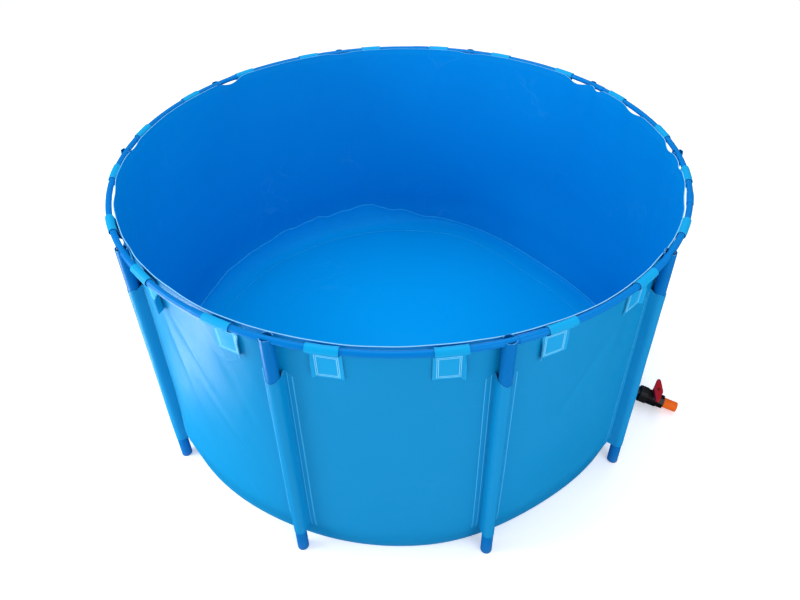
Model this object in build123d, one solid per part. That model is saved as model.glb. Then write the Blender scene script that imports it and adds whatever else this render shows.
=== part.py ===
from build123d import *
from math import asin, atan2, cos, degrees, radians, sin, sqrt
import os

# Collapsible round stock tank: a coated fabric liner hung inside a ring of
# swaged steel tubes that rests on ten vertical legs, with a drain ball valve.
# Millimetres. Origin on the ground at the tank's axis, +Z up, and +X runs
# through the drain, which leaves the wall midway between two legs.

# ---------------------------------------------------------------- sizes
GAP = 0.3                     # clearance between pieces that lie on each other
OVERLAP = 1.0                 # how far joined and cutting shapes reach past each other

# top ring
RING_R = 1000.0               # centreline radius of the ring
RING_Z = 982.0                # centreline height of the ring
RING_TUBE_R = 10.0
RING_WALL = 1.2
ARC_COUNT = 7
SOCKET_STRAIGHT = 58.0        # parallel part of the swaged end
SOCKET_TAPER = 28.0           # cone that leads back to the plain tube
SOCKET_FIT = 0.3
INSERT_SHORT = 3.0            # how far the plain end stops before the cone
JOINT_CLEAR = 0.2             # degrees between a joint and the leg beside it

# legs
LEG_COUNT = 10
LEG_R = 19.0
LEG_WALL = 1.5
LEG_ABOVE_RING = 8.0          # saddle lips stand this far above the ring's centre
SADDLE_CLEAR = 0.4
SADDLE_DROP = 0.05            # gap left under the ring in its saddle
PLUG_FLANGE = 5.0
PLUG_STEM = 22.0
PLUG_WALL = 2.5
PLUG_CHAMFER = 1.5

# liner
WALL_TO_LEG = 5.0             # gap between the hung wall and the legs
FOOT_DRAW = 27.0              # how far the wall draws in at its foot
TAPER_Z = 122.0               # height at which the wall starts to draw in
WALL_ABOVE_RING = 4.0         # wall's top edge above the ring's centre
LINER_T = 2.0
HEM_T = 1.7
HEM_H = 30.0
SEAM_T = 1.5
SEAM_TOP_Z = 112.0

# pockets that hold the legs against the wall
POCKET_Z0 = 100.0
POCKET_BELOW_RING = 143.0     # pockets' top edge below the ring's centre
POCKET_T = 2.0
POCKET_SLACK = 0.4
POCKET_FLANGE = 28.0

# loops that hang the liner from the ring, two in each bay
STRAP_W = 90.0
STRAP_OFFSET = 9.3            # degrees each side of the middle of a bay
STRAP_T = 2.0
STRAP_CLEAR = 0.4
TAB_DROP = 123.0              # tab's lower edge below the ring's centre
TAB_H = 86.0

# drain
DRAIN_Z = 70.0                # height of the drain's axis at the wall
PIPE_R = 20.0                 # outlet pipe
TAIL_R = 19.0                 # threaded tail of the connector
BORE_R = 15.0
HOLE_CLEAR = 0.6
PATCH_R = 55.0
PATCH_T = 1.5
FLAT_ALLOWANCE = 0.9          # round wall behind a flat flange
FLANGE_R = 36.0
FLANGE_T = 6.0
GASKET_T = 2.5
LOCK_NUT_FLATS = 66.0
LOCK_NUT_T = 12.0
NUT_SIDES = 8

# union and valve, lengths along the drain's axis
END_PLAY = 0.2                # clearance between faces that meet end to end
UNION_AFTER_NUT = 2.2         # from the lock nut to the union's sleeve
SLEEVE_GRIP = 25.0            # length of the connector inside the sleeve
SLEEVE_LENGTH = 46.0
SLEEVE_WALL = 3.9
COLLAR_LENGTH = 13.0
UNION_NUT_BEHIND = 13.0       # how far the union nut reaches behind the collar
UNION_NUT_WALL = 5.0
UNION_THREAD = 7.0            # length of body thread inside the union nut
RIB_COUNT = 24
RIB_R = 2.2
UNION_NUT_CHAMFER = 2.0
UNION_NUT_GAP = 1.0           # from the union nut to the body's shoulder
THREAD_WALL = 4.7             # body's wall round the ball, at the thread
BODY_WALL = 6.7               # and behind it
BALL_R = 22.5
BALL_CLEAR = 0.8
SEAT_CLEAR = 0.3
SEAT_STEP = 1.5               # seats are this much smaller than the ball, on the radius
SEAT_REACH = 9.0              # how far a seat reaches over the ball
SEAT_T = 7.0
RETAINER_START = 1.0
RETAINER_LENGTH = 9.3
SEAT_LEDGE = 3.5              # wall between the outlet seat and the pipe socket
SOCKET_DEPTH = 15.0
SOCKET_WALL = 6.8
OUTLET_BEHIND = 7.0           # the eight-sided outlet starts this far behind its socket
OUTLET_CONE = 4.0
STUB_LENGTH = 55.0            # outlet pipe outside the body
STUB_WALL = 3.0
SPIGOT_STEP = 0.6             # pipe is turned down by this much where it is glued in
O_RING_R = 1.3
O_RING_GROOVE = 0.1           # groove's clearance round a seal
O_RING_INSET = 0.7

# stem and handle, lengths along the stem
STEM_R = 7.0
STEM_CLEAR = 0.1
STEM_COLLAR_R = 9.0
STEM_COLLAR_GAP = 0.4         # from the ball to the stem's collar
STEM_COLLAR_T = 2.1
TOWER_R = 14.0
TOWER_ABOVE_COLLAR = 15.0
BONNET_T = 5.0
BONNET_RIM = 1.0
STEM_SQUARE = 9.4
SQUARE_CLEAR = 0.15
STEM_SHOULDER = 1.0           # its round part stands this far above the tower
STEM_ABOVE_TOWER = 15.0
TANG = (6.0, 14.0)            # width and length of the key that turns the ball
TANG_DEPTH = 4.0
SCREW_R = 2.4
SCREW_ABOVE_TOWER = 3.0       # lower end of the screw
SCREW_HEAD_T = 3.4
SCREW_SLOT = (1.2, 1.2)       # width and depth
STEM_O_RING_R = 1.1
STEM_O_RINGS = (4.0, 9.0)     # above the collar
HANDLE_SPAN = 118.0
HANDLE_END_R = 8.0
HANDLE_HUB_R = 19.0
HANDLE_GAP = 2.0              # from the tower to the handle's hub
HANDLE_T = 15.0
HANDLE_ARM_RISE = 4.0
HANDLE_EDGE_R = 3.0
STOP_POST_R = 2.5
STOP_AT_R = 14.5
STOP_POST_H = 4.0
STOP_SLOT_DEPTH = 2.5
STOP_CLEAR = 0.4
VALVE_TURN = 90.0

# ---------------------------------------------------------------- worked out
SOCKET_R = RING_TUBE_R + SOCKET_FIT + RING_WALL
SOCKET_BORE = RING_TUBE_R + SOCKET_FIT
LEG_STEP = 360.0 / LEG_COUNT
ARC_STEP = 360.0 / ARC_COUNT
LEG_ANGLES = [LEG_STEP * (k + 0.5) for k in range(LEG_COUNT)]
LEG_HALF = degrees(asin(LEG_R / RING_R))
WALL_R = RING_R - LEG_R - WALL_TO_LEG     # outside radius of the hung wall
FOOT_R = WALL_R - FOOT_DRAW
WALL_TOP_Z = RING_Z + WALL_ABOVE_RING
POCKET_Z1 = RING_Z - POCKET_BELOW_RING
TAPER_TILT = degrees(atan2(WALL_R - FOOT_R, TAPER_Z))
WALL_X = FOOT_R + (WALL_R - FOOT_R) * DRAIN_Z / TAPER_Z

# the first joint clears the leg before the bay beside the drain
FIRST_JOINT = -1.5 * LEG_STEP + LEG_HALF + JOINT_CLEAR
JOINT_ANGLES = [FIRST_JOINT + ARC_STEP * k for k in range(ARC_COUNT)]
SOCKET_SPAN = degrees((SOCKET_STRAIGHT + SOCKET_TAPER) / RING_R)
STRAIGHT_SPAN = degrees(SOCKET_STRAIGHT / RING_R)
INSERT_SPAN = degrees((SOCKET_STRAIGHT - INSERT_SHORT) / RING_R)

# what lies on the drain's axis, measured outwards from the wall's outside face
CLAMP_IN = -(LINER_T + GAP + SEAM_T + FLAT_ALLOWANCE)
GASKET_IN = CLAMP_IN - GASKET_T
FLANGE_IN = GASKET_IN - END_PLAY - FLANGE_T
GASKET_OUT = GAP + PATCH_T + GAP
LOCK_NUT_START = GASKET_OUT + GASKET_T + END_PLAY
UNION_START = LOCK_NUT_START + LOCK_NUT_T + UNION_AFTER_NUT
CONNECTOR_END = UNION_START + SLEEVE_GRIP
COLLAR_START = UNION_START + SLEEVE_LENGTH
BODY_START = COLLAR_START + COLLAR_LENGTH
UNION_NUT_START = COLLAR_START - UNION_NUT_BEHIND
UNION_NUT_END = BODY_START + UNION_THREAD
SEAT_INNER = BALL_R - SEAT_REACH
RETAINER_END = BODY_START + RETAINER_START + RETAINER_LENGTH
STEM_AT = RETAINER_END + END_PLAY + SEAT_T + SEAT_INNER
SOCKET_START = STEM_AT + SEAT_INNER + SEAT_T + SEAT_LEDGE
OUTLET_START = SOCKET_START - OUTLET_BEHIND
BODY_END = SOCKET_START + SOCKET_DEPTH
STUB_END = BODY_END + STUB_LENGTH

# radii about that axis
CHAMBER_R = BALL_R + BALL_CLEAR
SEAT_R = BALL_R - SEAT_STEP
THREAD_R = CHAMBER_R + THREAD_WALL
BODY_R = CHAMBER_R + BODY_WALL
COLLAR_R = THREAD_R - GAP
UNION_NUT_R = THREAD_R + UNION_NUT_WALL
SLEEVE_R = TAIL_R + GAP + SLEEVE_WALL
SPIGOT_R = PIPE_R - SPIGOT_STEP
OUTLET_FLATS = 2 * (SPIGOT_R + GAP + SOCKET_WALL)

# heights along the stem, from the drain's axis
TANG_BOTTOM = BALL_R - TANG_DEPTH
STEM_COLLAR_Z0 = BALL_R + STEM_COLLAR_GAP
STEM_COLLAR_Z1 = STEM_COLLAR_Z0 + STEM_COLLAR_T
TOWER_TOP = STEM_COLLAR_Z1 + TOWER_ABOVE_COLLAR
STEM_TOP = TOWER_TOP + STEM_ABOVE_TOWER
HANDLE_Z0 = TOWER_TOP + HANDLE_GAP
HANDLE_ARM_Z0 = HANDLE_Z0 + HANDLE_ARM_RISE
HANDLE_TOP = HANDLE_Z0 + HANDLE_T
BONNET_R = STOP_AT_R + STOP_POST_R + BONNET_RIM

# the drain's own frame: Z outwards along the pipe, X up along the stem
TILT = radians(TAPER_TILT)
DRAIN = Plane(
    origin=(WALL_X, 0, DRAIN_Z),
    x_dir=(sin(TILT), 0, cos(TILT)),
    z_dir=(cos(TILT), 0, -sin(TILT)),
)
STEM = Plane(
    origin=DRAIN.from_local_coords((0, 0, STEM_AT)),
    x_dir=DRAIN.z_dir,
    z_dir=DRAIN.x_dir,
)

parts = {}


def turned(shape, angle):
    """The shape turned about the tank's axis by an angle in degrees."""
    return Rot(0, 0, angle) * shape


def swept_disc(radius, start, span):
    """A solid rod of the ring's curvature between two angles."""
    disc = Plane.XZ * Pos(RING_R, RING_Z) * Circle(radius)
    return turned(revolve(disc, Axis.Z, span), start)


def cone_between(radius_a, radius_b, angle_a, angle_b):
    """A short cone that joins two rod radii along the ring."""
    def section(radius, angle):
        return turned(Plane.XZ * Pos(RING_R, RING_Z) * Circle(radius), angle)
    return loft([section(radius_a, angle_a), section(radius_b, angle_b)], ruled=True)


def tube(outer, inner, start, end):
    """A pipe along the local Z axis."""
    shape = Cylinder(outer, end - start) - Cylinder(inner, end - start)
    return Pos(0, 0, (start + end) / 2) * shape


def rod(radius, start, end):
    """A round bar along the local Z axis."""
    return Pos(0, 0, (start + end) / 2) * Cylinder(radius, end - start)


def polygon_bar(flats, start, end):
    """A many-sided bar along the local Z axis, given its size across flats."""
    outline = RegularPolygon(flats / 2, NUT_SIDES, major_radius=False, rotation=180 / NUT_SIDES)
    return Pos(0, 0, start) * extrude(outline, end - start)


def o_ring(radius, minor, at):
    """A round seal about the local Z axis."""
    return Pos(0, 0, at) * Torus(radius, minor)


# ---------------------------------------------------------------- ring
def ring_arc(start):
    """One tube of the ring: a swaged socket at its start, a plain end after the next joint."""
    straight_end = start + STRAIGHT_SPAN
    plain_start = start + SOCKET_SPAN
    plain_span = ARC_STEP + INSERT_SPAN - SOCKET_SPAN
    outside = swept_disc(SOCKET_R, start, STRAIGHT_SPAN)
    outside += cone_between(SOCKET_R, RING_TUBE_R, straight_end, plain_start)
    outside += swept_disc(RING_TUBE_R, plain_start, plain_span)
    bore = swept_disc(SOCKET_BORE, start, STRAIGHT_SPAN)
    bore += cone_between(SOCKET_BORE, RING_TUBE_R - RING_WALL, straight_end, plain_start)
    bore += swept_disc(RING_TUBE_R - RING_WALL, plain_start, plain_span)
    return outside - bore


for number, joint_angle in enumerate(JOINT_ANGLES, 1):
    parts[f"ring_arc_{number}"] = ring_arc(joint_angle)


# ---------------------------------------------------------------- legs
def seat_radius(leg_angle):
    """Radius of what lies in a leg's saddle: the plain tube, or a socket."""
    reach = LEG_HALF + SOCKET_SPAN / 2
    for joint_angle in JOINT_ANGLES:
        middle = joint_angle + SOCKET_SPAN / 2
        apart = abs((leg_angle - middle + 180) % 360 - 180)
        if apart < reach:
            return SOCKET_R
    return RING_TUBE_R


def leg(leg_angle):
    """A vertical tube whose top is cut into a saddle for the ring."""
    top = RING_Z + LEG_ABOVE_RING
    shape = Pos(RING_R, 0) * tube(LEG_R, LEG_R - LEG_WALL, PLUG_FLANGE, top)
    notch_r = seat_radius(leg_angle) + SADDLE_CLEAR
    notch_z = RING_Z + SADDLE_CLEAR - SADDLE_DROP
    notch = Plane.XZ * Pos(RING_R, notch_z) * Circle(notch_r)
    notch += Plane.XZ * Pos(RING_R, notch_z + LEG_R) * Rectangle(2 * notch_r, 2 * LEG_R)
    shape -= extrude(notch, 2 * LEG_R, both=True)
    return turned(shape, leg_angle)


def foot_plug(leg_angle):
    """The plastic foot that closes a leg's lower end."""
    shape = rod(LEG_R, 0, PLUG_FLANGE)
    shape = chamfer(shape.faces().sort_by(Axis.Z)[0].edges(), PLUG_CHAMFER)
    stem_r = LEG_R - LEG_WALL - GAP
    shape += tube(stem_r, stem_r - PLUG_WALL, PLUG_FLANGE, PLUG_FLANGE + PLUG_STEM)
    return turned(Pos(RING_R, 0) * shape, leg_angle)


for number, leg_angle in enumerate(LEG_ANGLES, 1):
    parts[f"leg_{number}"] = leg(leg_angle)
parts["foot_plugs"] = Compound([foot_plug(leg_angle) for leg_angle in LEG_ANGLES])


# ---------------------------------------------------------------- liner
def wall_radius(z):
    """Outside radius of the wall at a height."""
    return FOOT_R + (WALL_R - FOOT_R) * min(z, TAPER_Z) / TAPER_Z


def wall_layer(outward, thickness, z0, z1):
    """A layer of the round wall, its outside face a distance outward of the wall's own."""
    heights = [z0] + ([TAPER_Z] if z0 < TAPER_Z < z1 else []) + [z1]
    outside = [(wall_radius(z) + outward, z) for z in heights]
    inside = [(r - thickness, z) for r, z in reversed(outside)]
    profile = make_face(Plane.XZ * Polyline(*outside, *inside, close=True))
    return revolve(profile, Axis.Z)


drain_hole = DRAIN * rod(TAIL_R + HOLE_CLEAR, -4 * FLANGE_T, 4 * FLANGE_T)

parts["liner_wall"] = wall_layer(0, LINER_T, 0, WALL_TOP_Z) - drain_hole
parts["top_hem"] = wall_layer(-LINER_T - GAP, HEM_T, WALL_TOP_Z - HEM_H, WALL_TOP_Z)
parts["liner_floor"] = rod(FOOT_R - LINER_T - GAP, 0, LINER_T)
parts["floor_seam_band"] = wall_layer(-LINER_T - GAP, SEAM_T, LINER_T + GAP, SEAM_TOP_Z) - drain_hole
patch_zone = DRAIN * rod(PATCH_R, -4 * FLANGE_T, 4 * FLANGE_T)
parts["drain_patch"] = (wall_layer(GAP + PATCH_T, PATCH_T, GAP, 2 * TAPER_Z) & patch_zone) - drain_hole


def pole_pocket(leg_angle):
    """A strip welded to the wall on both sides of a leg and wrapped round its outer half."""
    inner = LEG_R + POCKET_SLACK
    outer = inner + POCKET_T
    face_r = WALL_R + GAP
    wrap = Pos(RING_R, 0) * (Circle(outer) - Circle(inner))
    wrap &= Pos(RING_R + outer, 0) * Rectangle(2 * outer, 2 * outer)
    flange_skin = Circle(face_r + POCKET_T) - Circle(face_r)
    flanges = Sketch()
    side_x = (RING_R + face_r) / 2
    for side in (1, -1):
        wrap += Pos(side_x, side * (inner + POCKET_T / 2)) * Rectangle(RING_R - face_r, POCKET_T)
        strip = Pos(RING_R, side * (inner + POCKET_FLANGE / 2)) * Rectangle(RING_R, POCKET_FLANGE)
        flanges += flange_skin & strip
    shape = Pos(0, 0, POCKET_Z0) * extrude(wrap, POCKET_Z1 - POCKET_Z0)
    flange_z = TAPER_Z + POCKET_T
    shape += Pos(0, 0, flange_z) * extrude(flanges, POCKET_Z1 - flange_z)
    return turned(shape, leg_angle)


for number, leg_angle in enumerate(LEG_ANGLES, 1):
    parts[f"pole_pocket_{number}"] = pole_pocket(leg_angle)


def teardrop(radius, apex_x, apex_z):
    """A circle round the ring's centre drawn out to a point, in the radial plane."""
    reach = sqrt((apex_x - RING_R) ** 2 + (apex_z - RING_Z) ** 2)
    towards = degrees(atan2(apex_z - RING_Z, apex_x - RING_R))
    spread = degrees(atan2(sqrt(reach ** 2 - radius ** 2), radius))
    touch = [
        (RING_R + radius * cos(radians(towards + s)), RING_Z + radius * sin(radians(towards + s)))
        for s in (spread, -spread)
    ]
    wedge = make_face(Polyline((apex_x, apex_z), *touch, close=True))
    return Pos(RING_R, RING_Z) * Circle(radius) + wedge


def hanging_strap(middle):
    """A loop of fabric over the ring with its tab welded to the wall below."""
    inner_r = SOCKET_R + STRAP_CLEAR
    outer_r = inner_r + STRAP_T
    tab_x = WALL_R + GAP + STRAP_T / 2
    tab_z = RING_Z - TAB_DROP + TAB_H
    reach = sqrt((tab_x - RING_R) ** 2 + (tab_z - RING_Z) ** 2)
    slack = STRAP_T * reach / outer_r        # moves the inner point so the loop keeps its thickness
    share = slack / reach
    hole_x = tab_x + (RING_R - tab_x) * share
    hole_z = tab_z + (RING_Z - tab_z) * share
    loop = teardrop(outer_r, tab_x, tab_z) - teardrop(inner_r, hole_x, hole_z)
    tab = Pos(tab_x, tab_z - TAB_H / 2 + STRAP_T) * Rectangle(STRAP_T, TAB_H + 2 * STRAP_T)
    span = degrees(STRAP_W / RING_R)
    return turned(revolve(Plane.XZ * (loop + tab), Axis.Z, span), middle - span / 2)


strap_middles = [
    LEG_STEP * bay + side * STRAP_OFFSET for bay in range(LEG_COUNT) for side in (-1, 1)
]
parts["hanging_straps"] = Compound([hanging_strap(middle) for middle in strap_middles])

# ---------------------------------------------------------------- drain fitting
connector = tube(TAIL_R, BORE_R, FLANGE_IN, CONNECTOR_END)
connector += tube(FLANGE_R, BORE_R, FLANGE_IN, FLANGE_IN + FLANGE_T)
parts["drain_connector"] = DRAIN * connector
parts["inner_gasket"] = DRAIN * tube(FLANGE_R, TAIL_R + GAP, GASKET_IN, CLAMP_IN)
parts["outer_gasket"] = DRAIN * tube(FLANGE_R, TAIL_R + GAP, GASKET_OUT, GASKET_OUT + GASKET_T)
lock_nut = polygon_bar(LOCK_NUT_FLATS, LOCK_NUT_START, LOCK_NUT_START + LOCK_NUT_T)
lock_nut -= rod(TAIL_R + GAP, 0, LOCK_NUT_START + 2 * LOCK_NUT_T)
parts["lock_nut"] = DRAIN * lock_nut

seal_r = CHAMBER_R + 2 * O_RING_R - O_RING_INSET
groove = O_RING_R + O_RING_GROOVE
seal_at = BODY_START - O_RING_R
collar = rod(COLLAR_R, COLLAR_START, BODY_START - GAP - END_PLAY)
union_end = rod(SLEEVE_R, UNION_START, COLLAR_START) + collar
union_end -= rod(TAIL_R + GAP, UNION_START, CONNECTOR_END + GAP)
union_end -= rod(BORE_R, CONNECTOR_END, BODY_START)
union_end -= tube(seal_r + groove, seal_r - groove, seal_at - groove, BODY_START)
parts["union_end"] = DRAIN * union_end
parts["union_o_ring"] = DRAIN * o_ring(seal_r, O_RING_R, seal_at - O_RING_GROOVE / 2)

union_nut = rod(UNION_NUT_R, UNION_NUT_START, UNION_NUT_END)
union_nut = chamfer(union_nut.edges().filter_by(GeomType.CIRCLE), UNION_NUT_CHAMFER)
union_nut -= rod(SLEEVE_R + GAP, UNION_NUT_START, UNION_NUT_END)
union_nut -= rod(THREAD_R + GAP, COLLAR_START - GAP, UNION_NUT_END)
for rib in PolarLocations(UNION_NUT_R + RIB_R / 2, RIB_COUNT):
    union_nut -= rib * rod(RIB_R, UNION_NUT_START, UNION_NUT_END)
parts["union_nut"] = DRAIN * union_nut

# ---------------------------------------------------------------- ball valve
neck_end = UNION_NUT_END + UNION_NUT_GAP
cone_start = OUTLET_START - OUTLET_CONE
body = rod(THREAD_R, BODY_START, neck_end) + rod(BODY_R, neck_end, cone_start)
body += Pos(0, 0, OUTLET_START - OUTLET_CONE / 2) * Cone(BODY_R, OUTLET_FLATS / 2, OUTLET_CONE)
body += polygon_bar(OUTLET_FLATS, OUTLET_START, BODY_END)
tower = rod(TOWER_R, 0, TOWER_TOP) + rod(BONNET_R, TOWER_TOP - BONNET_T, TOWER_TOP)
body += Pos(0, 0, STEM_AT) * Rot(0, 90, 0) * tower
body -= rod(CHAMBER_R, BODY_START, STEM_AT + SEAT_INNER - END_PLAY)
body -= rod(SEAT_R + GAP, STEM_AT, STEM_AT + SEAT_INNER + SEAT_T + END_PLAY)
body -= rod(BORE_R, STEM_AT, BODY_END)
body -= rod(SPIGOT_R + GAP, SOCKET_START, BODY_END)
body = DRAIN * body
body -= STEM * rod(STEM_R + STEM_CLEAR, 0, TOWER_TOP + OVERLAP)
body -= STEM * rod(STEM_COLLAR_R + GAP, 0, STEM_COLLAR_Z1 + GAP)
stop_post = Pos(0, STOP_AT_R, 0) * rod(STOP_POST_R, TOWER_TOP - OVERLAP, TOWER_TOP + STOP_POST_H)
parts["valve_body"] = body + STEM * stop_post

seat = tube(SEAT_R, BORE_R, SEAT_INNER, SEAT_INNER + SEAT_T) - Sphere(BALL_R + SEAT_CLEAR)
parts["outlet_seat"] = DRAIN * Pos(0, 0, STEM_AT) * seat
parts["inlet_seat"] = DRAIN * Pos(0, 0, STEM_AT) * Rot(180, 0, 0) * seat
retainer = tube(CHAMBER_R - GAP, BORE_R, BODY_START + RETAINER_START, RETAINER_END)
parts["seat_retainer"] = DRAIN * retainer

# the ball is shown shut, so its bore lies across the pipe
ball = Sphere(BALL_R) - Rot(90, 0, 0) * Cylinder(BORE_R, 2 * BALL_R)
ball -= Pos(0, 0, BALL_R) * Box(TANG[0] + 2 * GAP, 2 * BALL_R, 2 * (TANG_DEPTH + GAP))
parts["ball"] = STEM * ball

stem_shoulder = TOWER_TOP + STEM_SHOULDER
stem = rod(STEM_R, STEM_COLLAR_Z0, stem_shoulder)
stem += rod(STEM_COLLAR_R, STEM_COLLAR_Z0, STEM_COLLAR_Z1)
stem += Pos(0, 0, (TANG_BOTTOM + STEM_COLLAR_Z0) / 2) * Box(*TANG, STEM_COLLAR_Z0 - TANG_BOTTOM)
square_length = STEM_TOP - stem_shoulder
stem += Pos(0, 0, stem_shoulder + square_length / 2) * Box(STEM_SQUARE, STEM_SQUARE, square_length)
stem -= rod(SCREW_R + STEM_CLEAR, TOWER_TOP, STEM_TOP)
stem_groove = STEM_O_RING_R + O_RING_GROOVE
stem_seals = []
for above in STEM_O_RINGS:
    at = STEM_COLLAR_Z1 + above
    stem -= tube(STEM_R + OVERLAP, STEM_R - 2 * stem_groove, at - stem_groove, at + stem_groove)
    stem_seals.append(STEM * o_ring(STEM_R - stem_groove, STEM_O_RING_R, at))
parts["stem"] = STEM * stem
parts["stem_o_rings"] = Compound(stem_seals)

# ---------------------------------------------------------------- handle
arm_reach = HANDLE_SPAN / 2 - HANDLE_END_R
plan = make_hull(
    Circle(HANDLE_HUB_R).edges()
    + (Pos(0, arm_reach) * Circle(HANDLE_END_R)).edges()
    + (Pos(0, -arm_reach) * Circle(HANDLE_END_R)).edges()
)
handle = Pos(0, 0, HANDLE_ARM_Z0) * extrude(plan, HANDLE_TOP - HANDLE_ARM_Z0)
handle = fillet(handle.faces().sort_by(Axis.Z)[-1].edges(), HANDLE_EDGE_R)
handle += rod(HANDLE_HUB_R, HANDLE_Z0, HANDLE_ARM_Z0 + OVERLAP)
square = STEM_SQUARE + 2 * SQUARE_CLEAR
square_top = STEM_TOP + GAP
handle -= Pos(0, 0, (HANDLE_Z0 + square_top) / 2) * Box(square, square, square_top - HANDLE_Z0)
handle -= rod(SCREW_R + GAP, HANDLE_Z0, HANDLE_TOP)
slot_half = degrees(asin((STOP_POST_R + STOP_CLEAR) / STOP_AT_R))
slot_profile = Plane.XZ * Pos(STOP_AT_R, HANDLE_Z0 + STOP_SLOT_DEPTH / 2) * Rectangle(
    2 * (STOP_POST_R + STOP_CLEAR), STOP_SLOT_DEPTH
)
stop_slot = revolve(slot_profile, Axis.Z, VALVE_TURN + 2 * slot_half)
handle -= Rot(0, 0, 90 - VALVE_TURN - slot_half) * stop_slot
parts["handle"] = STEM * handle

screw_top = HANDLE_TOP + STEM_CLEAR + SCREW_HEAD_T
screw = rod(SCREW_R, TOWER_TOP + SCREW_ABOVE_TOWER, HANDLE_TOP + OVERLAP)
screw += rod(2 * SCREW_R, HANDLE_TOP + STEM_CLEAR, screw_top)
screw -= Pos(0, 0, screw_top) * Box(SCREW_SLOT[0], 4 * SCREW_R, 2 * SCREW_SLOT[1])
parts["handle_screw"] = STEM * screw

stub_bore = PIPE_R - STUB_WALL
stub = tube(PIPE_R, stub_bore, BODY_END + GAP, STUB_END)
stub += tube(SPIGOT_R, stub_bore, SOCKET_START + GAP, BODY_END + 2 * GAP)
parts["outlet_stub"] = DRAIN * stub

# ---------------------------------------------------------------- output
os.makedirs("parts", exist_ok=True)
for node, shape in parts.items():
    export_step(shape, f"parts/{node}.step")
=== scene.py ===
import math
import random

import bmesh
import bpy
from mathutils import Matrix, Vector, noise


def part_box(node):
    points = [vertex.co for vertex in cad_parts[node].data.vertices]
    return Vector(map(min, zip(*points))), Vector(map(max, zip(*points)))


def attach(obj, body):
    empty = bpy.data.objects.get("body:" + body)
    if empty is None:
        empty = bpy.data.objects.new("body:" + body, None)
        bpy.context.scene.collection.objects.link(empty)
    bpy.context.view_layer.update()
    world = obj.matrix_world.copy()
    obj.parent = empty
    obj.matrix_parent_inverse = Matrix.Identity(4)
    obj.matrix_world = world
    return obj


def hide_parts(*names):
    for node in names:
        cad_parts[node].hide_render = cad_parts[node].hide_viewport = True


# Looks of a collapsible round stock tank: a coated fabric liner hung in a ring
# of painted tubes on ten legs. Metres, +Z up, and +X runs through the drain.
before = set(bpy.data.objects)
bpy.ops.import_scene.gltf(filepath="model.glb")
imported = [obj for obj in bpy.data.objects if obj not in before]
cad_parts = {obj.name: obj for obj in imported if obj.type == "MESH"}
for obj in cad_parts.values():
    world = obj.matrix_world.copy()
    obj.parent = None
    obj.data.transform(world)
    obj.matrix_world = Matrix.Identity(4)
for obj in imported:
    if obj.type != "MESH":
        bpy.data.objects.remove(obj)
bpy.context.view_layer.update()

# ---------------------------------------------------------------- sizes from the frame
BAYS = sum(name.startswith("leg_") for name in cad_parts)
BAY = 2 * math.pi / BAYS
LEG_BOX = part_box("leg_1")
LEG_CENTRE = (LEG_BOX[0] + LEG_BOX[1]) / 2
LEG_ANGLES = [BAY * (k + 0.5) for k in range(BAYS)]
RING_R = LEG_CENTRE.xy.length
LEG_R = (LEG_BOX[1].x - LEG_BOX[0].x) / 2
ARC_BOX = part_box("ring_arc_2")
RING_Z = (ARC_BOX[0].z + ARC_BOX[1].z) / 2
SOCKET_R = (ARC_BOX[1].z - ARC_BOX[0].z) / 2
WALL_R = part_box("liner_wall")[1].x
FLOOR_GAP = 0.0023            # from the floor panel's edge to the wall's foot
FOOT_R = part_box("liner_floor")[1].x + FLOOR_GAP
POCKET_Z0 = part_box("pole_pocket_1")[0].z
POCKET_Z1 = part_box("pole_pocket_1")[1].z
TAB_Z0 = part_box("hanging_straps")[0].z
PATCH_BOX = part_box("drain_patch")

# ---------------------------------------------------------------- sizes of the cloth
CLOTH_T = 0.0009
STRIP_T = 0.0008              # the thinner cloth of the hem and of the floor's edge
TAPER_Z = 0.122               # below this the wall draws in to its foot
TAPER_SOFT = 0.35             # share of the taper over which the bend above it is rounded
RIM_Z = RING_Z + 0.004        # rim's height where a loop holds it
RIM_FLARE = 0.0095            # how far the rim leans out to the ring
FREE_FLARE = 0.0085           # how much of that is missing where the cloth hangs free of the ring
STRAP_OFFSET = math.radians(9.3)
STRAP_W = 0.088
HEM_W = 0.040
SEAM_W = 0.15
DRAIN_Z = 0.070
DRAIN_X = FOOT_R + (WALL_R - FOOT_R) * DRAIN_Z / TAPER_Z

chance = random.Random(11)
RIM_SAGS = (                  # where the rim hangs away from the ring: degrees, half width, drop
    (1.0, 5.5, 0.006), (12.0, 2.0, 0.005), (20.0, 4.0, 0.009), (38.0, 5.0, 0.010), (50.8, 2.0, 0.010),
    (57.5, 4.6, 0.014), (90.0, 4.0, 0.005), (126.0, 4.5, 0.005), (158.5, 4.8, 0.014), (196.0, 4.0, 0.004),
    (214.0, 5.0, 0.004), (234.0, 4.0, 0.004), (270.0, 5.0, 0.004), (306.0, 5.0, 0.003), (340.0, 4.0, 0.005),
)
bay_flat = [chance.uniform(0.004, 0.012) for _ in range(BAYS)]    # how far each bay hangs inside the circle


def smooth(value, low, high):
    """0 below low, 1 above high, and an S curve between them."""
    share = min(max((value - low) / (high - low), 0.0), 1.0)
    return share * share * (3 - 2 * share)


def bump(value, centre, half):
    """1 at the centre, 0 from a half width away on."""
    apart = min(abs(value - centre) / half, 1.0)
    return math.cos(apart * math.pi / 2) ** 2


def between(value, points):
    """Value of a line through (place, height) points, rounded between them."""
    for (x0, y0), (x1, y1) in zip(points, points[1:]):
        if value <= x1:
            return y0 + (y1 - y0) * smooth(value, x0, x1)
    return points[-1][1]


def in_bay(angle):
    """The bay an angle lies in, and its place there from -0.5 to 0.5."""
    turn = angle / BAY
    bay = math.floor(turn + 0.5)
    return bay % BAYS, turn - bay


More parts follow.
